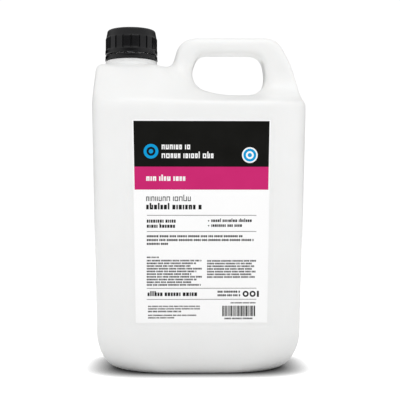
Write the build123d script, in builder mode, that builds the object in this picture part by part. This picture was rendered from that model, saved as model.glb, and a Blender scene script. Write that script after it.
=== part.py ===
from build123d import *
import os

# Four litre handled bottle with a screw cap, in millimetres.
# +Z is up, -Y is the label side, +X is the handle side, and the origin is
# the middle of the base on the ground.

# Body block: half sizes and corner radii at the base, the heel and the shoulder
WALL = 1.4
HEEL_Z = 26
SHOULDER_Z = 208
BASE_HALF = (75.8, 57.9)
HEEL_HALF = (79.3, 61.4)
SHOULDER_HALF = (84.0, 64.0)
BASE_CORNER = 40
HEEL_CORNER = 29
SHOULDER_CORNER = 29
HEEL_X = -0.6
BASE_ROUND = 11
PUSH_UP = 3
PUSH_UP_HALF = (54, 34)
PUSH_UP_CORNER = 24

# Shoulder: a low roof under the handle and a tall hip that carries the neck
ROOF_Z = 218.5
ROOF_LEFT = -60
ROOF_RIGHT = 81.6
ROOF_HALF_Y = 25
ROOF_CORNER = 20
HIP_Z = 243.5
HIP_LEFT = -82.8
HIP_RIGHT = -22
HIP_FOOT_RIGHT = 14
HIP_HALF_Y = 24.5
HIP_CORNER = 19
HIP_ROUND = 5

# Handle: a hoop of rounded bar standing on the shoulder
HANDLE_Z = 265.9
HANDLE_LEFT = -13.8
HANDLE_RIGHT = 65.4
HANDLE_KNEE = (79.6, 229)
HANDLE_FOOT_RIGHT = 80.5
HANDLE_HALF_Y = 14.5
HANDLE_ROUND_LEFT = 14
HANDLE_ROUND_RIGHT = 15
GRIP_ROUND = 9
HANDLE_EDGE = 5.8
GRIP_Z = 253.4
GRIP_LEFT = -2.6
GRIP_RIGHT = 51.0
HANDLE_FOOT_Z = 209.5
LEFT_LEAN = 0.35
GRIP_LEAN = 0.14

# Neck, around its own axis
NECK_X = -54.9
NECK_TOP_Z = 270.2
NECK_ROOT_Z = 241
BORE_R = 16.0
NECK_R = 17.6
COLLAR_R = 20.9
COLLAR_Z = 247.3
STEM_R = 18.1
BEAD_R = 19.2
BEAD_Z = 250.6
BEAD_TOP_Z = 252.0

# Screw thread, right handed, shared by the neck and the cap
PITCH = 4.2
TURNS = 1.75
THREAD_Z = 257.0
NECK_THREAD_R = 18.7
CAP_THREAD_R = 17.95
THREAD_ROOT = 1.9
THREAD_CREST = 0.9

# Cap shell
CAP_TOP_Z = 273.0
CAP_FOOT_Z = 252.5
CROWN_Z = 266.7
RIM_Z = 255.8
CROWN_TOP_R = 19.5
CROWN_R = 20.6
PAD_R = 21.2
RIM_R = 21.35
CAP_BORE_R = 19.05
CAP_MOUTH_R = 19.6
CAP_ROOF = 1.6
PADS = 20
GROOVE = 1.1
GROOVE_DEPTH = 1.0

# Sealing liner
LINER_T = 1.2
LINER_R = 18.9

# Tamper band: caught under the bead, with short bridges up to the cap
BAND_Z = 248.0
BAND_TOP_Z = 251.9
BAND_EDGE = 0.6
BAND_LIP_R = 18.6
BAND_LIP_Z = 249.7
BAND_BORE_R = 19.7
BAND_R = 21.3
BAND_FLARE_R = 21.6
BRIDGES = 14
BRIDGE_R = 20.3
BRIDGE_GAP = 0.05

# Label panel sunk into the front face, and the label stuck in it
PANEL_X = 0.4
PANEL_Z = (36.2, 196.3)
PANEL_HALF = (54.0, 55.6)
PANEL_DEPTH = 0.5
PANEL_CORNER = 3
LABEL_X = 1.1
LABEL_Z = (40.1, 193.6)
LABEL_HALF = (49.6, 52.5)
LABEL_T = 0.15


def block_section(z, middle_x, half, corner, inset):
    """A rounded rectangle of the body block, drawn inside the outer skin."""
    with BuildSketch(Plane.XY.offset(z)) as section:
        with Locations((middle_x, 0)):
            RectangleRounded(2 * (half[0] - inset), 2 * (half[1] - inset), corner - inset)
    return section.sketch


def shoulder_section(z, left, right, half_y, corner, inset):
    """A rounded rectangle of the shoulder, given by its two ends in X."""
    with BuildSketch(Plane.XY.offset(z)) as section:
        with Locations(((left + right) / 2, 0)):
            RectangleRounded(right - left - 2 * inset, 2 * (half_y - inset), corner - inset)
    return section.sketch


def edges_at(part, z):
    """The edges that lie in one level plane."""
    return part.edges().filter_by(lambda edge: abs((edge @ 0.5).Z - z) < 0.01)


def torso(inset):
    """Block, roof and hip in one solid, drawn inside the outer skin."""
    shoulder = block_section(SHOULDER_Z, 0, SHOULDER_HALF, SHOULDER_CORNER, inset)
    heel = block_section(HEEL_Z, HEEL_X, HEEL_HALF, HEEL_CORNER, inset)
    hip_foot = (SHOULDER_Z, -SHOULDER_HALF[0], HIP_FOOT_RIGHT, SHOULDER_HALF[1])
    hip_top = (HIP_Z - inset, HIP_LEFT, HIP_RIGHT, HIP_HALF_Y)
    roof_top = (ROOF_Z - inset, ROOF_LEFT, ROOF_RIGHT, ROOF_HALF_Y)
    with BuildPart() as form:
        add(block_section(inset, HEEL_X, BASE_HALF, BASE_CORNER, inset))
        add(heel)
        loft(ruled=True)
        add(heel)
        add(shoulder)
        loft(ruled=True)
        add(shoulder)
        add(shoulder_section(*roof_top, ROOF_CORNER, inset))
        loft(ruled=True)
        add(shoulder_section(*hip_foot, SHOULDER_CORNER, inset))
        add(shoulder_section(*hip_top, HIP_CORNER, inset))
        loft(ruled=True)
        fillet(edges_at(form, inset), BASE_ROUND - inset)
        fillet(edges_at(form, HIP_Z - inset), HIP_ROUND - inset)
    return form.part


def hoop(inset):
    """The handle: a leaning hoop with two legs that run down into the shoulder."""
    drop = HANDLE_Z - HANDLE_FOOT_Z
    grip_drop = GRIP_Z - HANDLE_FOOT_Z
    with BuildPart() as form:
        with BuildSketch(Plane.XZ) as outside:
            with BuildLine():
                Polyline(
                    (HANDLE_LEFT - LEFT_LEAN * drop, HANDLE_FOOT_Z),
                    (HANDLE_LEFT, HANDLE_Z),
                    (HANDLE_RIGHT, HANDLE_Z),
                    HANDLE_KNEE,
                    (HANDLE_FOOT_RIGHT, HANDLE_FOOT_Z),
                    close=True,
                )
            make_face()
            fillet(outside.vertices().group_by(Axis.Y)[-1].sort_by(Axis.X)[0], HANDLE_ROUND_LEFT)
            fillet(outside.vertices().group_by(Axis.Y)[-1].sort_by(Axis.X)[-1], HANDLE_ROUND_RIGHT)
            offset(amount=-inset, mode=Mode.REPLACE)
        extrude(amount=HANDLE_HALF_Y - inset, both=True)
        with BuildSketch(Plane.XZ) as grip:
            with BuildLine():
                Polyline(
                    (GRIP_LEFT - GRIP_LEAN * grip_drop, HANDLE_FOOT_Z),
                    (GRIP_LEFT, GRIP_Z),
                    (GRIP_RIGHT, GRIP_Z),
                    (GRIP_RIGHT + GRIP_LEAN * grip_drop, HANDLE_FOOT_Z),
                    close=True,
                )
            make_face()
            fillet(grip.vertices().group_by(Axis.Y)[-1], GRIP_ROUND)
            offset(amount=inset, mode=Mode.REPLACE)
        extrude(amount=HANDLE_HALF_Y, both=True, mode=Mode.SUBTRACT)
        side_edges = form.faces().filter_by(Axis.Y).edges()
        bar_edges = side_edges.filter_by(lambda edge: (edge @ 0.5).Z > HANDLE_FOOT_Z + 1)
        fillet(bar_edges, HANDLE_EDGE - inset)
    return form.part


def push_up_block(wall):
    """The raised middle of the base, with or without the wall around it."""
    with BuildPart() as form:
        with BuildSketch():
            with Locations((HEEL_X, 0)):
                RectangleRounded(
                    2 * (PUSH_UP_HALF[0] + wall),
                    2 * (PUSH_UP_HALF[1] + wall),
                    PUSH_UP_CORNER + wall,
                )
        extrude(amount=PUSH_UP + wall)
    return form.part


def thread(radius, crest_r, start_z):
    """One helical ridge from a root radius to a crest radius."""
    helix = Helix(PITCH, PITCH * TURNS, radius, center=(0, 0, start_z))
    with BuildPart() as ridge:
        with BuildSketch(Plane(helix @ 0, x_dir=(1, 0, 0), z_dir=helix % 0)):
            with BuildLine():
                Polyline(
                    (0, -THREAD_ROOT / 2),
                    (crest_r - radius, -THREAD_CREST / 2),
                    (crest_r - radius, THREAD_CREST / 2),
                    (0, THREAD_ROOT / 2),
                    close=True,
                )
            make_face()
        sweep(path=helix, is_frenet=True)
    return ridge.part.moved(Location((NECK_X, 0, 0)))


def face_plane(depth):
    """The front face, or a plane that lies behind it by a depth."""
    rise = SHOULDER_Z - HEEL_Z
    lean = SHOULDER_HALF[1] - HEEL_HALF[1]
    outward = Vector(0, -rise, -lean).normalized()
    foot = Vector(0, -HEEL_HALF[1], HEEL_Z)
    return Plane(foot - outward * depth, x_dir=(1, 0, 0), z_dir=outward)


def face_patch(middle_x, z_range, half, depth, corner, thickness):
    """A tapered sheet that stands on a plane behind the front face."""
    with BuildPart() as patch:
        with BuildSketch(face_plane(depth)) as outline:
            with BuildLine():
                Polyline(
                    (middle_x - half[0], z_range[0] - HEEL_Z),
                    (middle_x + half[0], z_range[0] - HEEL_Z),
                    (middle_x + half[1], z_range[1] - HEEL_Z),
                    (middle_x - half[1], z_range[1] - HEEL_Z),
                    close=True,
                )
            make_face()
            if corner:
                fillet(outline.vertices(), corner)
        extrude(amount=thickness)
    return patch.part


skin = torso(0)
skin_hoop = hoop(0)
cavity = torso(WALL)
cavity_hoop = hoop(WALL)
panel = face_patch(PANEL_X, PANEL_Z, PANEL_HALF, PANEL_DEPTH, PANEL_CORNER, 5)
neck_thread = thread(NECK_R - 0.2, NECK_THREAD_R, THREAD_Z)
cap_thread = thread(CAP_BORE_R + 0.2, CAP_THREAD_R, THREAD_Z - PITCH / 2)

with BuildPart() as bottle_body:
    add(skin)
    add(skin_hoop)
    with BuildSketch(Plane.XZ):
        with BuildLine():
            Polyline(
                (NECK_X, NECK_ROOT_Z),
                (NECK_X + COLLAR_R, NECK_ROOT_Z),
                (NECK_X + COLLAR_R, COLLAR_Z),
                (NECK_X + STEM_R, COLLAR_Z + 0.5),
                (NECK_X + STEM_R, BEAD_Z - 0.3),
                (NECK_X + BEAD_R, BEAD_Z),
                (NECK_X + BEAD_R, BEAD_Z + 0.5),
                (NECK_X + NECK_R, BEAD_TOP_Z),
                (NECK_X + NECK_R, NECK_TOP_Z - 0.4),
                (NECK_X + NECK_R - 0.4, NECK_TOP_Z),
                (NECK_X, NECK_TOP_Z),
                close=True,
            )
        make_face()
    revolve(axis=Axis((NECK_X, 0, 0), (0, 0, 1)))
    add(neck_thread)
    add(cavity, mode=Mode.SUBTRACT)
    add(cavity_hoop, mode=Mode.SUBTRACT)
    with Locations((NECK_X, 0, NECK_ROOT_Z - 3)):
        Cylinder(BORE_R, 40, align=(Align.CENTER, Align.CENTER, Align.MIN), mode=Mode.SUBTRACT)
    add(panel, mode=Mode.SUBTRACT)
    add(push_up_block(WALL))
    add(push_up_block(0), mode=Mode.SUBTRACT)
bottle_body.part.label = "bottle_body"

with BuildPart() as cap_shell:
    with BuildSketch(Plane.XZ):
        with BuildLine():
            Polyline(
                (NECK_X, CAP_TOP_Z - CAP_ROOF),
                (NECK_X + CAP_BORE_R, CAP_TOP_Z - CAP_ROOF),
                (NECK_X + CAP_BORE_R, RIM_Z - 1.2),
                (NECK_X + CAP_MOUTH_R, RIM_Z - 2.0),
                (NECK_X + CAP_MOUTH_R, CAP_FOOT_Z),
                (NECK_X + RIM_R - 0.5, CAP_FOOT_Z),
                (NECK_X + RIM_R, CAP_FOOT_Z + 0.5),
                (NECK_X + RIM_R, RIM_Z),
                (NECK_X + PAD_R, RIM_Z + 0.3),
                (NECK_X + PAD_R - 0.2, CROWN_Z - 0.7),
                (NECK_X + CROWN_R, CROWN_Z),
                (NECK_X + CROWN_TOP_R, CAP_TOP_Z - 1.2),
                (NECK_X + CROWN_TOP_R - 1.2, CAP_TOP_Z),
                (NECK_X, CAP_TOP_Z),
                close=True,
            )
        make_face()
    revolve(axis=Axis((NECK_X, 0, 0), (0, 0, 1)))
    with Locations((NECK_X, 0, (RIM_Z + CROWN_Z) / 2)):
        with PolarLocations(PAD_R, PADS):
            Box(2 * GROOVE_DEPTH, GROOVE, CROWN_Z - RIM_Z - 0.8, mode=Mode.SUBTRACT)
    add(cap_thread)
cap_shell.part.label = "cap_shell"

with BuildPart() as cap_liner:
    with Locations((NECK_X, 0, NECK_TOP_Z)):
        Cylinder(LINER_R, LINER_T, align=(Align.CENTER, Align.CENTER, Align.MIN))
cap_liner.part.label = "cap_liner"

with BuildPart() as tamper_band:
    with BuildSketch(Plane.XZ):
        with BuildLine():
            Polyline(
                (NECK_X + BAND_LIP_R, BAND_Z),
                (NECK_X + BAND_FLARE_R, BAND_Z),
                (NECK_X + BAND_R, BAND_Z + 1.6),
                (NECK_X + BAND_R, BAND_TOP_Z - BAND_EDGE),
                (NECK_X + BAND_R - BAND_EDGE, BAND_TOP_Z),
                (NECK_X + BAND_BORE_R, BAND_TOP_Z),
                (NECK_X + BAND_BORE_R, BAND_LIP_Z),
                (NECK_X + BAND_LIP_R, BAND_LIP_Z - 0.5),
                close=True,
            )
        make_face()
    revolve(axis=Axis((NECK_X, 0, 0), (0, 0, 1)))
    bridge_height = CAP_FOOT_Z - BAND_TOP_Z - BRIDGE_GAP
    with Locations((NECK_X, 0, BAND_TOP_Z)):
        with PolarLocations(BRIDGE_R, BRIDGES):
            Box(0.8, 1.0, bridge_height, align=(Align.CENTER, Align.CENTER, Align.MIN))
tamper_band.part.label = "tamper_band"

with BuildPart() as front_label:
    add(face_patch(LABEL_X, LABEL_Z, LABEL_HALF, PANEL_DEPTH, 0, LABEL_T))
front_label.part.label = "front_label"

os.makedirs("parts", exist_ok=True)
export_step(bottle_body.part, "parts/bottle_body.step")
export_step(cap_shell.part, "parts/cap_shell.step")
export_step(cap_liner.part, "parts/cap_liner.step")
export_step(tamper_band.part, "parts/tamper_band.step")
export_step(front_label.part, "parts/front_label.step")
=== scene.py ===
import math
import random

import bmesh
import bpy
import numpy as np
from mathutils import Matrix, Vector


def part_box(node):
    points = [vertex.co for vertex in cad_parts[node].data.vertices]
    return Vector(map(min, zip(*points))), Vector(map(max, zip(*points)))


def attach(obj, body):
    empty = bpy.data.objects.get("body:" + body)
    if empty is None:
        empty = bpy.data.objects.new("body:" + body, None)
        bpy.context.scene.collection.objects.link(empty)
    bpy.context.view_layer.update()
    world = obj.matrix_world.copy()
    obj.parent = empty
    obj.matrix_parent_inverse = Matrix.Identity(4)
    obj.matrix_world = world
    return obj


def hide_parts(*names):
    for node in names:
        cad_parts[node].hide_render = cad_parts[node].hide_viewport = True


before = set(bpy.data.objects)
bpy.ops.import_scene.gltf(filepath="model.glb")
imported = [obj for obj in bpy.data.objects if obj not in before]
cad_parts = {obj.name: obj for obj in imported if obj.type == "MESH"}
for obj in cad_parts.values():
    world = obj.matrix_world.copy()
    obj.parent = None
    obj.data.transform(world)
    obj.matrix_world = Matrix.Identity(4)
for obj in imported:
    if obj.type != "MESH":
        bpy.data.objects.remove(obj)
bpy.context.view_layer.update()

MM = 0.001


def box_mm(node):
    """The two corners of a CAD node, in millimetres."""
    low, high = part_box(node)
    return np.array(low) / MM, np.array(high) / MM


body_high = box_mm("bottle_body")[1]
cap_low, cap_high = box_mm("cap_shell")
band_low, band_high = box_mm("tamper_band")

# Bottle form, in millimetres: the block tapers down to the heel, and its front
# and back slope in above the shoulder to a ridge that drops from hip to roof.
WALL = 1.4
SHOULDER_Z = 208.0
HEEL_Z = 26.0
SHOULDER_X = body_high[0]
SHOULDER_Y = body_high[1]
HEEL_X = SHOULDER_X - 4.7
HEEL_Y = SHOULDER_Y - 2.6
HEEL_SHIFT = -0.6
CORNER_R = 28.5
FOOT_CORNER_GROWTH = 30.0
HEEL_INSET = 14.5
HEEL_HEIGHT = 31.2
LEFT_LEAN = 0.034
RIGHT_LEAN = 0.219
EDGE_BLEND = 3.7
PUSH_UP_HALF_X = 54.0
PUSH_UP_HALF_Y = 34.0
PUSH_UP_CORNER = 24.0
PUSH_UP_Z = 3.0
PUSH_UP_BLEND = 2.0

HIP_Z = 243.5
ROOF_Z = 218.9
RIDGE_HALF_Y = 24.5
FLANK_FOOT_X = 10.5
FLANK_SLOPE = 0.828
FLANK_BLEND = 7.0
ROOF_BLEND = 25.0
RIDGE_BLEND = 6.0
SLOPE_REACH = 6
SLOPE_CORNER = 36
SLOPE_CORNER_LOSS = 10

# Handle hoop
HANDLE_TOP = 265.9
HANDLE_LEFT = -19.3
HANDLE_RIGHT = 63.5
HANDLE_HALF_Y = 14.5
HANDLE_EDGE = 6.2
HANDLE_LEFT_LEAN = -0.013
HANDLE_RIGHT_LEAN = 0.568
GRIP_TOP = 253.4
GRIP_LEFT = -0.1
GRIP_RIGHT = 51.8
GRIP_LEFT_LEAN = 0.40
GRIP_RIGHT_LEAN = 0.146
HANDLE_FILLET = 21.0
HANDLE_LEFT_BLEND = 20.4
HANDLE_RIGHT_BLEND = 8.3
GRIP_LEFT_BLEND = 6.6
GRIP_RIGHT_BLEND = 11.2

# Label panel, sunk in the front face
PANEL_X = 0.4
PANEL_FOOT = 36.2
PANEL_HEAD = 196.3
PANEL_HALF_FOOT = 54.0
PANEL_HALF_HEAD = 55.6
PANEL_DEPTH = 0.5
PANEL_RAMP = 1.5
PANEL_CORNER = 3.0

# Neck finish, around the axis of the cap
NECK_X = (cap_low[0] + cap_high[0]) / 2
NECK_TOP = body_high[2]
NECK_FOOT = 241.6
BORE_R = 16.0
NECK_R = 17.6
COLLAR_R = 20.9
COLLAR_TOP = 247.3
COLLAR_ROOT_Z = HIP_Z - 12
COLLAR_BLEND = 3.0
STEM_R = 18.1
BEAD_R = 19.2
BEAD_Z = 250.6
PITCH = 4.2
THREAD_TURNS = 1.75
THREAD_Z = 257.0
NECK_THREAD_R = 18.7
CAP_THREAD_R = 17.95
THREAD_SINK = 0.2

# Cap
PADS = 20
PAD_R = 21.2
RIM_R = (cap_high[0] - cap_low[0]) / 2
RIM_Z = 255.8
CROWN_Z = 266.7
CROWN_R = 20.6
CROWN_TOP_R = 19.5
CAP_BORE_R = 19.05
CAP_MOUTH_R = 19.6
CAP_ROOF = 1.6
GROOVE_DEPTH = 1.1
PAD_TURN = math.radians(2.2)
PAD_INNER_R = 20.2
CAP_TOP = cap_high[2]
CAP_FOOT = cap_low[2]

# Tamper band
BAND_R = 21.3
BAND_FLARE_R = (band_high[0] - band_low[0]) / 2
BAND_LIP_R = 18.6
BAND_BORE_R = 19.7
BAND_FOOT = band_low[2]
BAND_TOP = 251.9
BRIDGES = 14
BRIDGE_R = 20.3

# Added to a distance to keep a form out of a region altogether
FAR = 1000


# ---------------------------------------------------------------- materials


def node_tree(material):
    material.use_nodes = True
    tree = material.node_tree
    shader = tree.nodes["Principled BSDF"]
    coords = tree.nodes.new("ShaderNodeTexCoord").outputs["Object"]
    return tree, shader, coords


def add_noise(tree, coords, scale, detail=3.0):
    noise = tree.nodes.new("ShaderNodeTexNoise")
    noise.inputs["Scale"].default_value = scale
    noise.inputs["Detail"].default_value = detail
    tree.links.new(coords, noise.inputs["Vector"])
    return noise.outputs["Fac"]


def add_range(tree, value, low, high, from_low=0.3, from_high=0.7):
    remap = tree.nodes.new("ShaderNodeMapRange")
    remap.inputs["From Min"].default_value = from_low
    remap.inputs["From Max"].default_value = from_high
    remap.inputs["To Min"].default_value = low
    remap.inputs["To Max"].default_value = high
    tree.links.new(value, remap.inputs["Value"])
    return remap.outputs["Result"]


def add_bump(tree, height, distance, normal=None):
    bump = tree.nodes.new("ShaderNodeBump")
    bump.inputs["Distance"].default_value = distance
    bump.inputs["Strength"].default_value = 1.0
    tree.links.new(height, bump.inputs["Height"])
    if normal is not None:
        tree.links.new(normal, bump.inputs["Normal"])
    return bump.outputs["Normal"]


def add_mottle(tree, factor, dark, light):
    mix = tree.nodes.new("ShaderNodeMix")
    mix.data_type = "RGBA"
    mix.inputs["A"].default_value = (*dark, 1)
    mix.inputs["B"].default_value = (*light, 1)
    tree.links.new(factor, mix.inputs["Factor"])
    return mix.outputs["Result"]


GLOSS_SPREAD = 0.04


def plastic(name, dark, light, rough, grain, grain_depth, wave_depth=0.0, specular=0.5):
    """Moulded plastic or film: mottled colour, uneven gloss, fine grain and a slow wave."""
    material = bpy.data.materials.new(name)
    tree, shader, coords = node_tree(material)
    cloud = add_noise(tree, coords, 45)
    colour = add_mottle(tree, add_range(tree, cloud, 0, 1), dark, light)
    tree.links.new(colour, shader.inputs["Base Color"])
    fine = add_noise(tree, coords, grain, 2.0)
    uneven = add_range(tree, cloud, rough - GLOSS_SPREAD, rough + GLOSS_SPREAD)
    tree.links.new(uneven, shader.inputs["Roughness"])
    normal = add_bump(tree, fine, grain_depth)
    if wave_depth:
        normal = add_bump(tree, add_noise(tree, coords, 22, 1.0), wave_depth, normal)
    tree.links.new(normal, shader.inputs["Normal"])
    shader.inputs["Specular IOR Level"].default_value = specular
    return material, tree, shader, coords, normal


def bottle_plastic():
    """White polyethylene: faint glow under the skin and a thin mould line round the sides."""
    white, tree, shader, coords, normal = plastic(
        "bottle_white", (0.898, 0.898, 0.888), (0.912, 0.912, 0.902), 0.36, 900, 0.00004, 0.0002
    )
    shader.inputs["Subsurface Weight"].default_value = 0.15
    shader.inputs["Subsurface Radius"].default_value = (1.0, 0.9, 0.8)
    shader.inputs["Subsurface Scale"].default_value = 0.004
    split = tree.nodes.new("ShaderNodeSeparateXYZ")
    tree.links.new(coords, split.inputs["Vector"])
    away = tree.nodes.new("ShaderNodeMath")
    away.operation = "ABSOLUTE"
    tree.links.new(split.outputs["Y"], away.inputs[0])
    seam = add_range(tree, away.outputs["Value"], 1.0, 0.0, 0.00008, 0.0004)
    tree.links.new(add_bump(tree, seam, 0.00012, normal), shader.inputs["Normal"])
    return white


def printed(name, dark, light, rough, specular=0.1):
    """Label film or ink, with almost no grain."""
    return plastic(name, dark, light, rough, 700, 0.00001, 0, specular)[0]


BOTTLE = bottle_plastic()
CAP = plastic("cap_black", (0.002, 0.002, 0.0025), (0.005, 0.005, 0.006), 0.22, 1500, 0.00003, 0, 0.3)[0]
FOAM = plastic("liner_foam", (0.72, 0.72, 0.70), (0.80, 0.80, 0.78), 0.8, 2600, 0.0002)[0]
FILM = printed("label_white", (0.985, 0.985, 0.985), (0.995, 0.995, 0.995), 0.33, 0.12)
BLACK_INK = printed("ink_black", (0.006, 0.006, 0.005), (0.009, 0.009, 0.008), 0.45, 0.06)
BAND_INK = printed("ink_magenta", (0.58, 0.017, 0.155), (0.61, 0.021, 0.168), 0.4)
TEXT_INK = printed("ink_grey", (0.010, 0.010, 0.010), (0.016, 0.016, 0.016), 0.5)
WHITE_INK = printed("ink_white", (0.93, 0.93, 0.93), (0.96, 0.96, 0.96), 0.4)
BLUE_INK = printed("ink_blue", (0.0, 0.31, 0.65), (0.003, 0.34, 0.70), 0.4)


# ---------------------------------------------------------------- mesh tools


def join(*meshes):
    """Several (vertices, faces) pairs as one."""
    points, faces, base = [], [], 0
    for vertices, polygons in meshes:
        points.append(np.asarray(vertices, float))
        faces += [tuple(int(i) + base for i in polygon) for polygon in polygons]
        base += len(vertices)
    return np.vstack(points), faces


def piece(name, mesh_data, material, body, crease=None):
    """A new object from vertices in millimetres, riding on a CAD body."""
    points, faces = mesh_data
    mesh = bpy.data.meshes.new(name)
    mesh.from_pydata((np.asarray(points) * MM).tolist(), [], faces)
    work = bmesh.new()
    work.from_mesh(mesh)
    bmesh.ops.remove_doubles(work, verts=work.verts, dist=1e-6)
    work.to_mesh(mesh)
    work.free()
    mesh.shade_smooth()
    if crease:
        mesh.set_sharp_from_angle(angle=math.radians(crease))
    obj = bpy.data.objects.new(name, mesh)
    bpy.context.scene.collection.objects.link(obj)
    mesh.materials.append(material)
    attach(obj, body)
    return obj


def smooth_step(low, high, value):
    t = np.clip((value - low) / (high - low), 0, 1)
    return t * t * (3 - 2 * t)


def smooth_max(a, b, width):
    """The larger of two distances, with the corner between them rounded off."""
    mix = np.clip(0.5 + 0.5 * (a - b) / width, 0, 1)
    return b + (a - b) * mix + width * mix * (1 - mix)


def smooth_min(a, b, width):
    return -smooth_max(-a, -b, width)


def rounded(p, q, radius):
    """Distance to a right-angled corner of two faces, rounded to a radius."""
    p, q = p + radius, q + radius
    return np.hypot(np.maximum(p, 0), np.maximum(q, 0)) + np.minimum(np.maximum(p, q), 0) - radius


def surface_net(distance, low, high, step):
    """The zero surface of a distance function, as quads that lie exactly on it."""
    axes = [np.arange(a, b + step, step) for a, b in zip(low, high)]
    values = distance(*np.meshgrid(*axes, indexing="ij"))
    inside = values < 0
    corners = np.array([(i, j, k) for i in (0, 1) for j in (0, 1) for k in (0, 1)])
    shape = np.array(values.shape) - 1
    windows = [tuple(slice(c, c + n) for c, n in zip(corner, shape)) for corner in corners]
    count = sum(inside[window].astype(int) for window in windows)
    cells = np.argwhere((count > 0) & (count < 8))
    at_corner = [values[tuple((cells + c).T)] for c in corners]
    total, hits = np.zeros(cells.shape), np.zeros(len(cells))
    for a in range(8):
        for b in range(a + 1, 8):
            if np.abs(corners[a] - corners[b]).sum() != 1:
                continue
            crossed = (at_corner[a] < 0) != (at_corner[b] < 0)
            gap = np.where(crossed, at_corner[a] - at_corner[b], 1)
            t = np.where(crossed, at_corner[a] / gap, 0)[:, None]
            total += crossed[:, None] * (corners[a] + t * (corners[b] - corners[a]))
            hits += crossed
    points = np.array(low) + step * (cells + total / hits[:, None])
    for _ in range(4):
        points = pulled(distance, points, step / 2)

    index = -np.ones(shape, int)
    index[tuple(cells.T)] = np.arange(len(cells))
    faces = []
    for axis in range(3):
        u, v = np.eye(3, dtype=int)[(axis + 1) % 3], np.eye(3, dtype=int)[(axis + 2) % 3]
        nodes = np.argwhere(np.diff(inside.astype(int), axis=axis) != 0)
        nodes = nodes[((nodes >= u + v) & (nodes < shape)).all(axis=1)]
        quads = np.stack([index[tuple((nodes - d).T)] for d in (u + v, v, 0 * u, u)], axis=1)
        leaving = inside[tuple(nodes.T)]
        faces += quads[leaving].tolist() + quads[~leaving][:, ::-1].tolist()
    return points, faces


def pulled(distance, points, limit):
    """Points moved along the gradient towards the zero surface."""
    h = 0.02
    here = distance(*points.T)
    gradient = np.stack(
        [(distance(*(points + d).T) - distance(*(points - d).T)) / (2 * h) for d in np.eye(3) * h],
        axis=1,
    )
    size = np.maximum((gradient**2).sum(axis=1), 1e-6)
    move = -gradient * (here / size)[:, None]
    length = np.maximum(np.linalg.norm(move, axis=1), 1e-9)
    return points + move * np.minimum(1, limit / length)[:, None]


def rounded_profile(points, steps=5):
    """A closed (radius, height, cut) profile with each corner rounded by its cut."""
    outline = []
    for i, (r, z, cut) in enumerate(points):
        here = np.array((r, z))
        if not cut:
            outline.append(here)
            continue
        before = np.array(points[i - 1][:2]) - here
        after = np.array(points[(i + 1) % len(points)][:2]) - here
        start = here + before / np.linalg.norm(before) * cut
        end = here + after / np.linalg.norm(after) * cut
        for t in np.linspace(0, 1, steps):
            outline.append((1 - t) ** 2 * start + 2 * t * (1 - t) * here + t * t * end)
    return np.array(outline)


def subdivided(outline, longest):
    """The same profile with no segment longer than a limit."""
    rows = []
    for a, b in zip(outline, np.roll(outline, -1, axis=0)):
        parts = max(1, math.ceil(np.linalg.norm(b - a) / longest))
        rows += [a + (b - a) * i / parts for i in range(parts)]
    return np.array(rows)


def even_angles(segments):
    return np.arange(segments) * 2 * math.pi / segments


def lathe(outline, angle, relief=None):
    """A closed profile turned about the neck axis. relief changes the radius by angle and height."""
    segments = len(angle)
    radius = np.repeat(outline[:, :1], segments, axis=1)
    height = np.repeat(outline[:, 1:], segments, axis=1)
    if relief:
        radius = relief(radius, angle[None, :], height)
    points = np.stack((NECK_X + radius * np.cos(angle), radius * np.sin(angle), height), axis=-1)
    rows = len(outline)
    faces = []
    for i in range(rows):
        for j in range(segments):
            a, b = i * segments, (i + 1) % rows * segments
            k = (j + 1) % segments
            faces.append((a + j, b + j, b + k, a + k))
    return points.reshape(-1, 3), faces


def thread(root_r, crest_r, start_z):
    """A helical ridge with run-out at both ends."""
    section = [(0, -0.95), (0.8, -0.55), (1, -0.35), (1, 0.35), (0.8, 0.55), (0, 0.95)]
    steps = int(THREAD_TURNS * 72)
    turn = np.linspace(0, THREAD_TURNS * 2 * math.pi, steps + 1)
    ends = smooth_step(0, 0.5, turn) * smooth_step(0, 0.5, turn[-1] - turn)
    points = []
    for a, grow in zip(turn, ends):
        for reach, rise in section:
            r = root_r + (crest_r - root_r) * reach * grow
            z = start_z + PITCH * a / (2 * math.pi) + rise
            points.append((NECK_X + r * math.cos(a), r * math.sin(a), z))
    n = len(section)
    faces = [tuple(range(n)), tuple(range(steps * n + n - 1, steps * n - 1, -1))]
    for i in range(steps):
        for j in range(n):
            k = (j + 1) % n
            faces.append((i * n + j, i * n + n + j, i * n + n + k, i * n + k))
    return points, faces


def block(low, high):
    """A closed box between two corners."""
    points = [(x, y, z) for x in (low[0], high[0]) for y in (low[1], high[1]) for z in (low[2], high[2])]
    faces = [(0, 1, 3, 2), (4, 6, 7, 5), (0, 4, 5, 1), (2, 3, 7, 6), (0, 2, 6, 4), (1, 5, 7, 3)]
    return points, faces


# ---------------------------------------------------------------- bottle


def panel_depth(x, z):
    """How deep the label panel lies under the front face."""
    share = (z - PANEL_FOOT) / (PANEL_HEAD - PANEL_FOOT)
    half = PANEL_HALF_FOOT + (PANEL_HALF_HEAD - PANEL_HALF_FOOT) * share
    middle = (PANEL_FOOT + PANEL_HEAD) / 2
    edge = rounded(abs(x - PANEL_X) - half, abs(z - middle) - (PANEL_HEAD - middle), PANEL_CORNER)
    return PANEL_DEPTH * smooth_step(0, PANEL_RAMP, -edge)


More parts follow.
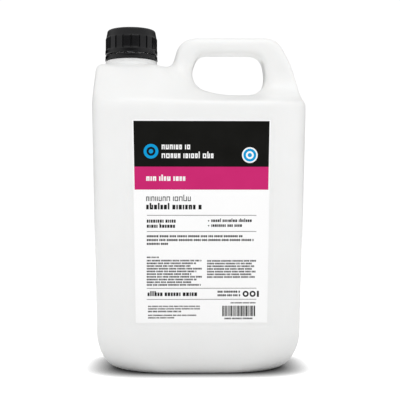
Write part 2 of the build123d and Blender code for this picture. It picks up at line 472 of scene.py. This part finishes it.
def block_distance(x, y, z):
    """The tapered block, with its leaning ends, rounded corners, heel and raised base."""
    taper = np.minimum((z - HEEL_Z) / (SHOULDER_Z - HEEL_Z), 1)
    above = np.maximum(z - SHOULDER_Z, 0)
    x = x - HEEL_SHIFT * (1 - taper)
    half_x = HEEL_X + (SHOULDER_X - HEEL_X) * taper
    half_y = HEEL_Y + (SHOULDER_Y - HEEL_Y) * taper
    ends = np.maximum(x - half_x + RIGHT_LEAN * above, -x - half_x + LEFT_LEAN * above)
    faces = abs(y) - half_y + np.where(y < 0, panel_depth(x, z), 0)
    low = np.clip(1 - z / HEEL_HEIGHT, 0, 1)
    walls = rounded(ends, faces, CORNER_R + FOOT_CORNER_GROWTH * low**2)
    heel = HEEL_INSET * rounded(walls / HEEL_INSET, -z / HEEL_HEIGHT, 1.0)
    well = rounded(abs(x) - PUSH_UP_HALF_X, abs(y) - PUSH_UP_HALF_Y, PUSH_UP_CORNER)
    return smooth_max(heel, -np.maximum(well, z - PUSH_UP_Z), PUSH_UP_BLEND)


def top_distance(x, y, z):
    """The sloping shoulder: a tall hip under the neck that falls to a low roof."""
    ridge = smooth_min(HIP_Z, SHOULDER_Z + (FLANK_FOOT_X - x) * FLANK_SLOPE, FLANK_BLEND)
    ridge = smooth_max(ridge, ROOF_Z, ROOF_BLEND)
    share = (z - SHOULDER_Z) / (ridge - SHOULDER_Z)
    run = SHOULDER_Y - RIDGE_HALF_Y
    corner = SLOPE_CORNER - SLOPE_CORNER_LOSS * np.clip(share, 0, 1)
    slope = rounded(abs(x) - SHOULDER_X - SLOPE_REACH, abs(y) - SHOULDER_Y + run * share, corner)
    steepness = np.sqrt(1 + (run / (ridge - SHOULDER_Z)) ** 2)
    return smooth_max(slope / steepness, z - ridge, RIDGE_BLEND)


def handle_distance(x, y, z):
    """The hoop of rounded bar, open below, that stands on the shoulder."""
    drop = HANDLE_TOP - z
    left = (HANDLE_LEFT - HANDLE_LEFT_LEAN * drop - x) / math.hypot(1, HANDLE_LEFT_LEAN)
    right = (x - HANDLE_RIGHT - HANDLE_RIGHT_LEAN * drop) / math.hypot(1, HANDLE_RIGHT_LEAN)
    outside = smooth_max(smooth_max(left, -drop, HANDLE_LEFT_BLEND), right, HANDLE_RIGHT_BLEND)
    gap = GRIP_TOP - z
    grip = smooth_max(GRIP_LEFT - GRIP_LEFT_LEAN * gap - x, -gap, GRIP_LEFT_BLEND)
    grip = smooth_max(grip, x - GRIP_RIGHT - GRIP_RIGHT_LEAN * gap, GRIP_RIGHT_BLEND)
    return rounded(np.maximum(outside, -grip), abs(y) - HANDLE_HALF_Y, HANDLE_EDGE)


def skin_distance(x, y, z):
    """Signed distance to the outside of the moulding, with the collar as a plain post."""
    upper = smooth_min(top_distance(x, y, z), handle_distance(x, y, z), HANDLE_FILLET)
    body = smooth_max(block_distance(x, y, z), upper, EDGE_BLEND)
    collar = np.hypot(x - NECK_X, y) - COLLAR_R + FAR * (z < COLLAR_ROOT_Z)
    return smooth_min(body, collar, COLLAR_BLEND)


def cavity_distance(x, y, z):
    return skin_distance(x, y, z) + WALL


def without_post(mesh_data, radius, height):
    """The mesh without its faces near the neck axis above a height."""
    points, faces = mesh_data
    middles = points[np.array(faces)].mean(axis=1)
    reach = np.hypot(middles[:, 0] - NECK_X, middles[:, 1])
    keep = (reach > radius) | (middles[:, 2] < height)
    return points, [face for face, kept in zip(faces, keep) if kept]


def neck_mesh():
    """The neck finish: inner flange, collar, stem, bead, land, bore and thread."""
    skirt = COLLAR_R + 0.05
    profile = [
        (BORE_R, NECK_FOOT, 0.6),
        (skirt + 1, NECK_FOOT, 0),
        (skirt + 1, NECK_FOOT + 0.6, 0),
        (skirt, NECK_FOOT + 0.8, 0),
        (skirt, COLLAR_TOP, 0.3),
        (STEM_R, COLLAR_TOP + 0.4, 0.2),
        (STEM_R, BEAD_Z - 0.3, 0.2),
        (BEAD_R, BEAD_Z, 0.15),
        (BEAD_R, BEAD_Z + 0.5, 0.2),
        (NECK_R, BEAD_Z + 1.4, 0.2),
        (NECK_R, NECK_TOP, 0.4),
        (BORE_R, NECK_TOP, 0.3),
    ]
    ridge = thread(NECK_R - THREAD_SINK, NECK_THREAD_R, THREAD_Z)
    return join(lathe(rounded_profile(profile), even_angles(160)), ridge)


NET_MARGIN = 3.1
net_step = 1.5
low = (-SHOULDER_X - NET_MARGIN, -SHOULDER_Y - NET_MARGIN, -NET_MARGIN)
high = (SHOULDER_X + NET_MARGIN, SHOULDER_Y + NET_MARGIN, HANDLE_TOP + NET_MARGIN)

# Both skins are opened round the neck axis, where the turned neck finish takes over.
outer = surface_net(skin_distance, low, high, net_step)
outer = without_post(outer, COLLAR_R + 1.5, COLLAR_TOP - 1.2)
points, faces = surface_net(cavity_distance, low, high, 2 * net_step)
inner = without_post((points, [face[::-1] for face in faces]), COLLAR_R + 0.5, HIP_Z - 10)
shell = piece("bottle_shell", join(outer, inner, neck_mesh()), BOTTLE, "bottle", 38)
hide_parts("bottle_body")


# ---------------------------------------------------------------- closure


def pad_relief(radius, angle, height):
    """Flat-faced grip pads with a narrow groove between each pair, turned a little to the right."""
    pitch = 2 * math.pi / PADS
    from_groove = np.abs((angle - PAD_TURN + pitch / 2) % pitch - pitch / 2)
    from_middle = pitch / 2 - from_groove
    zone = smooth_step(RIM_Z + 0.3, RIM_Z + 0.9, height)
    zone = zone * smooth_step(CROWN_Z - 0.2, CROWN_Z - 0.9, height) * (radius > PAD_INNER_R)
    facet = np.cos(pitch / 2) / np.cos(from_middle)
    groove = GROOVE_DEPTH * (1 - smooth_step(0.36, 0.66, from_groove * PAD_R))
    return radius * (1 + (facet - 1) * zone) - groove * zone


def pad_angles():
    """Angles close together at the groove edges and wide apart across the pads."""
    pitch = 2 * math.pi / PADS
    steps = np.array((0, 0.36, 0.46, 0.56, 0.66, 0.8, 1.4, 2.2)) / PAD_R
    one_pad = np.concatenate((steps, [pitch / 2], pitch - steps[:0:-1]))
    return np.concatenate([one_pad + pitch * i for i in range(PADS)]) + PAD_TURN


def cap_mesh():
    profile = [
        (0, CAP_TOP, 0),
        (CROWN_TOP_R, CAP_TOP, 1.8),
        (CROWN_R, CROWN_Z, 0.25),
        (PAD_R, CROWN_Z - 0.9, 0.3),
        (PAD_R, RIM_Z + 0.4, 0.2),
        (RIM_R, RIM_Z, 0.25),
        (RIM_R, CAP_FOOT + 0.6, 0.2),
        (RIM_R - 0.5, CAP_FOOT, 0.2),
        (CAP_MOUTH_R, CAP_FOOT, 0.2),
        (CAP_MOUTH_R, RIM_Z - 2.0, 0.2),
        (CAP_BORE_R, RIM_Z - 1.2, 0.2),
        (CAP_BORE_R, CAP_TOP - CAP_ROOF, 0.4),
        (0, CAP_TOP - CAP_ROOF, 0),
    ]
    turned = lathe(subdivided(rounded_profile(profile), 0.8), pad_angles(), pad_relief)
    return join(turned, thread(CAP_BORE_R + THREAD_SINK, CAP_THREAD_R, THREAD_Z - PITCH / 2))


cap = piece("cap_shell_ribbed", cap_mesh(), CAP, "cap", 40)
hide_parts("cap_shell")


def band_mesh():
    profile = [
        (BAND_BORE_R, BAND_TOP, 0.1),
        (BAND_R - 0.6, BAND_TOP, 0.2),
        (BAND_R, BAND_TOP - 0.6, 0.2),
        (BAND_R, BAND_FOOT + 1.6, 0.5),
        (BAND_FLARE_R, BAND_FOOT, 0.3),
        (BAND_LIP_R, BAND_FOOT, 0.2),
        (BAND_LIP_R, BAND_FOOT + 1.2, 0.2),
        (BAND_BORE_R, BAND_FOOT + 1.7, 0.2),
    ]
    meshes = [lathe(rounded_profile(profile)[::-1], even_angles(180))]
    for i in range(BRIDGES):
        points, faces = block((BRIDGE_R - 0.4, -0.5, BAND_TOP - 0.1), (BRIDGE_R + 0.4, 0.5, band_high[2]))
        turn = 2 * math.pi * i / BRIDGES
        spun = [
            (NECK_X + x * math.cos(turn) - y * math.sin(turn), x * math.sin(turn) + y * math.cos(turn), z)
            for x, y, z in points
        ]
        meshes.append((spun, faces))
    return join(*meshes)


band = piece("tamper_band_ring", band_mesh(), CAP, "band", 40)
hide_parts("tamper_band")

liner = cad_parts["cap_liner"]
liner.data.materials.clear()
liner.data.materials.append(FOAM)


# ---------------------------------------------------------------- label

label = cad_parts["front_label"]
label.data.materials.clear()
label.data.materials.append(FILM)

label_low, label_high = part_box("front_label")
label_points = np.array([v.co for v in label.data.vertices])


def front_edge(z):
    """The front corners of the label at one of its ends."""
    end = label_points[abs(label_points[:, 2] - z) < 0.001]
    near = end[:, 1].min()
    xs = end[end[:, 1] < near + 0.00005, 0]
    return Vector((xs.min(), near, z)), Vector((xs.max(), near, z))


foot_left, foot_right = front_edge(label_low.z)
head_left, head_right = front_edge(label_high.z)
label_origin = (foot_left + foot_right) / 2
label_up = (head_left + head_right) / 2 - label_origin
LAYOUT_H = 154.5
SCALE = label_up.length / MM / LAYOUT_H
label_up.normalize()
label_out = Vector((1, 0, 0)).cross(label_up)
FOOT_HALF = (foot_right - foot_left).length / 2 / MM / SCALE
HEAD_HALF = (head_right - head_left).length / 2 / MM / SCALE

INK = 0.03


def half_width(t):
    return FOOT_HALF + (HEAD_HALF - FOOT_HALF) * t / LAYOUT_H


def on_label(s, t, lift):
    """A point s across and t up the layout, lifted off the label's face."""
    place = label_origin / MM + (Vector((1, 0, 0)) * s + label_up * t) * SCALE + label_out * lift
    return tuple(place)


def inked(name, shapes, material, layer):
    """Flat printed shapes, each an outline in label coordinates, as thin closed plates."""
    meshes = []
    for outline in shapes:
        n = len(outline)
        points = [on_label(s, t, INK * layer) for s, t in outline]
        points += [on_label(s, t, INK * (layer + 1)) for s, t in outline]
        faces = [tuple(range(n - 1, -1, -1)), tuple(range(n, 2 * n))]
        faces += [(i, (i + 1) % n, n + (i + 1) % n, n + i) for i in range(n)]
        meshes.append((points, faces))
    return piece(name, join(*meshes), material, "bottle", 30)


def strip(s0, s1, t0, t1):
    return [(s0, t0), (s1, t0), (s1, t1), (s0, t1)]


def band_across(t0, t1, margin):
    """A full-width band that follows the label's tapered sides."""
    return [
        (-half_width(t0) + margin, t0),
        (half_width(t0) - margin, t0),
        (half_width(t1) - margin, t1),
        (-half_width(t1) + margin, t1),
    ]


def arc_ring(s, t, inner_r, outer_r, parts=48):
    """A ring, cut into wedges that are each a simple outline."""
    wedges = []
    for i in range(parts):
        a, b = 2 * math.pi * i / parts, 2 * math.pi * (i + 1) / parts
        wedges.append([
            (s + inner_r * math.cos(a), t + inner_r * math.sin(a)),
            (s + outer_r * math.cos(a), t + outer_r * math.sin(a)),
            (s + outer_r * math.cos(b), t + outer_r * math.sin(b)),
            (s + inner_r * math.cos(b), t + inner_r * math.sin(b)),
        ])
    return wedges


def disc(s, t, radius, parts=48):
    return [[
        (s + radius * math.cos(2 * math.pi * i / parts), t + radius * math.sin(2 * math.pi * i / parts))
        for i in range(parts)
    ]]


letters = random.Random(41)


def dummy_words(left, right, base, height, stroke, plain=False):
    """A row of dummy words: runs of small bars and frames that only suggest type."""
    shapes = []
    s = left
    while s < right - height * 0.5:
        for _ in range(letters.choice((3, 4, 5, 6, 7, 8))):
            wide = height * letters.choice((0.55, 0.65, 0.75))
            if s + wide > right:
                break
            rise = height * letters.choice((1, 1, 1, 1.4))
            kind = letters.choice("frame arch cup bar".split())
            if plain:
                shapes.append(strip(s, s + wide, base, base + height))
            elif kind == "bar":
                wide = stroke
                shapes.append(strip(s, s + stroke, base, base + rise))
            else:
                shapes.append(strip(s, s + stroke, base, base + (rise if kind == "cup" else height)))
                shapes.append(strip(s + wide - stroke, s + wide, base, base + height))
                if kind != "cup":
                    shapes.append(strip(s + stroke, s + wide - stroke, base + height - stroke, base + height))
                if kind != "arch":
                    shapes.append(strip(s + stroke, s + wide - stroke, base, base + stroke))
            s += wide + height * 0.2
        s += height * 0.45
    return shapes


def small_words(left, right, base, height):
    """A row of words too small to show more than a plain block for each letter."""
    return dummy_words(left, right, base, height, 0, plain=True)


# The layout: heights up the label and places across it, from the middle of its foot
HEADER_FOOT = 118.7
BAND_PRINT_FOOT = 101.2
PRINT_MARGIN = 0.9
TEXT_LEFT = -41.6
TEXT_RIGHT = 41.8
HEAD_TEXT_LEFT = -30.4
BIG_TEXT_LEFT = -42.1
EMBLEM = (-38.5, 130.4)
ROUNDEL = (36.8, 127.6)
LINE_PITCH = 2.05
RULE_HALF = 0.19
BARS_LEFT = 15.8
BARS_RIGHT = 41.2

inked("print_header", [band_across(HEADER_FOOT, LAYOUT_H - PRINT_MARGIN, PRINT_MARGIN)], BLACK_INK, 0)
inked("print_band", [band_across(BAND_PRINT_FOOT, HEADER_FOOT, PRINT_MARGIN)], BAND_INK, 0)
inked("print_emblem", arc_ring(*EMBLEM, 3.4, 5.6) + disc(*EMBLEM, 1.7), BLUE_INK, 1)
inked("print_roundel", disc(*ROUNDEL, 6.0), WHITE_INK, 1)
inked("print_roundel_centre", arc_ring(*ROUNDEL, 3.0, 4.9) + disc(*ROUNDEL, 1.6), BLUE_INK, 2)

white_text = dummy_words(HEAD_TEXT_LEFT, -8.5, 131.9, 3.6, 0.85)
white_text += dummy_words(HEAD_TEXT_LEFT, 9.6, 125.2, 3.6, 0.85)
white_text += dummy_words(BIG_TEXT_LEFT, -11.0, 107.9, 3.4, 1.1)
inked("print_white_words", white_text, WHITE_INK, 1)

dark_text = dummy_words(BIG_TEXT_LEFT, -5.6, 92.5, 3.5, 0.6)
dark_text += dummy_words(BIG_TEXT_LEFT, 1.2, 86.2, 3.5, 1.2)
for base in (76.1, 72.2):
    dark_text += dummy_words(TEXT_LEFT, -18.5, base, 2.3, 0.9)
for base, right in ((76.6, 38.8), (72.9, 32.2)):
    dark_text += disc(5.4, base + 0.9, 0.55, 12)
    dark_text += dummy_words(7.4, right, base, 1.9, 0.7)
dark_text += dummy_words(-41.0, -3.3, 20.3, 2.7, 1.05)
dark_text += arc_ring(33.6, 21.9, 1.1, 2.3) + arc_ring(38.9, 21.9, 1.1, 2.3) + [strip(42.2, 43.7, 19.6, 24.2)]
inked("print_dark_words", dark_text, TEXT_INK, 0)

small_text = []
for base, right in ((65.0, 31.6), (62.1, 40.4), (59.2, -25.4)):
    small_text += small_words(TEXT_LEFT, right, base, 1.55)
small_text += small_words(TEXT_LEFT, -31.5, 49.2, 1.1)
for line in range(10):
    small_text += small_words(TEXT_LEFT, 0.5 - 4 * (line % 3), 46.6 - LINE_PITCH * line, 1.25)
for line in range(7):
    small_text += small_words(4.3, 41.5 - 3 * (line % 2), 46.4 - LINE_PITCH * line, 1.25)
for base in (22.8, 20.1):
    small_text += small_words(12.2, 29.7, base, 1.5)
small_text += small_words(22.2, 41.5, 14.6, 0.95)
foot_lines = ((12.0, -1.1, 1.0), (10.1, -1.1, 1.0), (8.0, -15.0, 1.2), (5.2, -3.0, 1.0), (3.3, -20.0, 1.0))
for base, right, height in foot_lines:
    small_text += small_words(-40.6, right, base, height)
small_text += small_words(17.5, 40.0, 2.6, 1.2)
inked("print_small_words", small_text, TEXT_INK, 0)

rules = [strip(TEXT_LEFT, TEXT_RIGHT, t - RULE_HALF, t + RULE_HALF) for t in (81.7, 69.4, 26.2, 17.8)]
inked("print_rules", rules, TEXT_INK, 0)

bars = []
s = BARS_LEFT
while s < BARS_RIGHT:
    wide = letters.choice((0.4, 0.4, 0.65, 1.0))
    bars.append(strip(s, s + wide, 4.9, 12.9))
    s += wide + letters.choice((0.3, 0.3, 0.5))
inked("print_bar_strip", bars, TEXT_INK, 0)


# ---------------------------------------------------------------- stage


def maths(tree, operation, a, b=0.0):
    """A math node fed by sockets or plain numbers."""
    node = tree.nodes.new("ShaderNodeMath")
    node.operation = operation
    for socket, value in zip(node.inputs, (a, b)):
        if isinstance(value, bpy.types.NodeSocket):
            tree.links.new(value, socket)
        else:
            socket.default_value = value
    return node.outputs["Value"]


def ray_is(tree, kind):
    return tree.nodes.new("ShaderNodeLightPath").outputs[f"Is {kind} Ray"]


FLOOR_HALF = 6
floor_mesh = bpy.data.meshes.new("floor")
corners = [(FLOOR_HALF * x, FLOOR_HALF * y, 0) for x, y in ((-1, -1), (1, -1), (1, 1), (-1, 1))]
floor_mesh.from_pydata(corners, [], [(0, 1, 2, 3)])
floor = bpy.data.objects.new("floor", floor_mesh)
bpy.context.scene.collection.objects.link(floor)
floor_paint = bpy.data.materials.new("floor_white")
floor_paint.use_nodes = True
tree = floor_paint.node_tree
tree.nodes.remove(tree.nodes["Principled BSDF"])
coords = tree.nodes.new("ShaderNodeTexCoord").outputs["Object"]
paint = add_mottle(tree, add_noise(tree, coords, 3), (0.88, 0.88, 0.88), (0.90, 0.90, 0.90))

# The lit floor only feeds the bounce. What the camera sees of the floor is glowing paint,
# darkened close to the bottle by an occlusion term that stands in for the contact shadow.
OVEREXPOSED = 1.5
CONTACT_REACH = 0.022
CONTACT_POWER = 1.6
PAINTED_SHADE_POWER = 0.4
BOUNCE_LEVEL = 1.25
TOWARDS_CAMERA = (0, -0.92, 0.39)
contact = tree.nodes.new("ShaderNodeAmbientOcclusion")
contact.inputs["Distance"].default_value = CONTACT_REACH
contact.inputs["Normal"].default_value = TOWARDS_CAMERA
# Painted shade: near the bottle the lit floor's own colour is darkened by the occlusion term, raised to a
# power, so less light bounces up onto the heel.
shaded_paint = tree.nodes.new("ShaderNodeVectorMath")
shaded_paint.operation = "SCALE"
tree.links.new(paint, shaded_paint.inputs["Vector"])
tree.links.new(maths(tree, "POWER", contact.outputs["AO"], PAINTED_SHADE_POWER), shaded_paint.inputs["Scale"])
near = tree.nodes.new("ShaderNodeBsdfDiffuse")
tree.links.new(shaded_paint.outputs["Vector"], near.inputs["Color"])
far = tree.nodes.new("ShaderNodeEmission")
tree.links.new(paint, far.inputs["Color"])
seen = maths(tree, "MULTIPLY", maths(tree, "POWER", contact.outputs["AO"], CONTACT_POWER), OVEREXPOSED)
extra = maths(tree, "MULTIPLY", maths(tree, "SUBTRACT", seen, BOUNCE_LEVEL), ray_is(tree, "Camera"))
tree.links.new(maths(tree, "ADD", extra, BOUNCE_LEVEL), far.inputs["Strength"])
spread = tree.nodes.new("ShaderNodeVectorMath")
spread.operation = "LENGTH"
tree.links.new(coords, spread.inputs[0])
fade = add_range(tree, spread.outputs["Value"], 0.0, 1.0, 0.15, 0.5)
blend = tree.nodes.new("ShaderNodeMixShader")
tree.links.new(maths(tree, "MAXIMUM", fade, ray_is(tree, "Camera")), blend.inputs["Fac"])
tree.links.new(near.outputs["BSDF"], blend.inputs[1])
tree.links.new(far.outputs["Emission"], blend.inputs[2])
tree.links.new(blend.outputs["Shader"], tree.nodes["Material Output"].inputs["Surface"])
floor_mesh.materials.append(floor_paint)


def softbox(name, place, target, size, power):
    light = bpy.data.lights.new(name, "AREA")
    light.shape = "RECTANGLE"
    light.size, light.size_y = size
    light.energy = power
    obj = bpy.data.objects.new(name, light)
    bpy.context.scene.collection.objects.link(obj)
    obj.location = place
    obj.rotation_euler = (Vector(target) - Vector(place)).to_track_quat("-Z", "Y").to_euler()
    return obj


softbox("top_softbox", (0.1, -0.4, 1.3), (0, 0, 0.15), (0.7, 0.5), 1.8)

# The room is white and dims a little towards the back. In reflections only, it also has a
# dark patch round the lens and a dark back. The camera itself sees plain white.
ROOM_LEVEL = 0.94
SEEN_LEVEL = 1.05
world = bpy.data.worlds.new("studio")
bpy.context.scene.world = world
world.use_nodes = True
tree = world.node_tree
background = tree.nodes["Background"]
background.inputs["Color"].default_value = (1, 1, 1, 1)
split = tree.nodes.new("ShaderNodeSeparateXYZ")
tree.links.new(tree.nodes.new("ShaderNodeTexCoord").outputs["Generated"], split.inputs["Vector"])
across, along, up = split.outputs
lens_x = maths(tree, "POWER", maths(tree, "DIVIDE", across, 0.85), 2)
lens_z = maths(tree, "POWER", maths(tree, "DIVIDE", maths(tree, "SUBTRACT", up, 0.05), 0.36), 2)
lens_patch = add_range(tree, maths(tree, "ADD", lens_x, lens_z), 0.05, 1.0, 0.1, 1.0)
behind = add_range(tree, along, 0.0, 1.0, -0.3, 0.3)
front = maths(tree, "MAXIMUM", lens_patch, behind)
far_side = add_range(tree, along, 0.0, 1.0, 0.1, 0.6)
low_down = add_range(tree, up, 1.0, 0.0, 0.25, 0.5)
back = maths(tree, "SUBTRACT", 1.0, maths(tree, "MULTIPLY", far_side, low_down))
reflected = maths(tree, "MULTIPLY", front, back)
dimming = maths(tree, "MULTIPLY", maths(tree, "SUBTRACT", 1.0, reflected), ray_is(tree, "Glossy"))
soft_back = add_range(tree, along, 1.0, 0.7, 0.0, 0.8)
room = maths(tree, "MULTIPLY", soft_back, ROOM_LEVEL)
level = maths(tree, "MULTIPLY", maths(tree, "SUBTRACT", 1.0, dimming), room)
tree.links.new(level, background.inputs["Strength"])
white = tree.nodes.new("ShaderNodeBackground")
white.inputs["Color"].default_value = (1, 1, 1, 1)
white.inputs["Strength"].default_value = SEEN_LEVEL
mix = tree.nodes.new("ShaderNodeMixShader")
tree.links.new(ray_is(tree, "Camera"), mix.inputs["Fac"])
tree.links.new(background.outputs["Background"], mix.inputs[1])
tree.links.new(white.outputs["Background"], mix.inputs[2])
tree.links.new(mix.outputs["Shader"], tree.nodes["World Output"].inputs["Surface"])

bpy.context.scene.view_settings.view_transform = "Standard"

# Camera: a little left of the middle, low, tipped slightly up and turned slightly right
CAMERA_PLACE = (-0.0181, -0.8, 0.117)
CAMERA_LENS = 87.8
TIPPED_UP = 1.23
TURNED_RIGHT = 1.40
camera_data = bpy.data.cameras.new("camera")
camera_data.lens = CAMERA_LENS
camera = bpy.data.objects.new("camera", camera_data)
bpy.context.scene.collection.objects.link(camera)
camera.location = CAMERA_PLACE
camera.rotation_euler = (math.radians(90 + TIPPED_UP), 0, math.radians(-TURNED_RIGHT))
bpy.context.scene.camera = camera
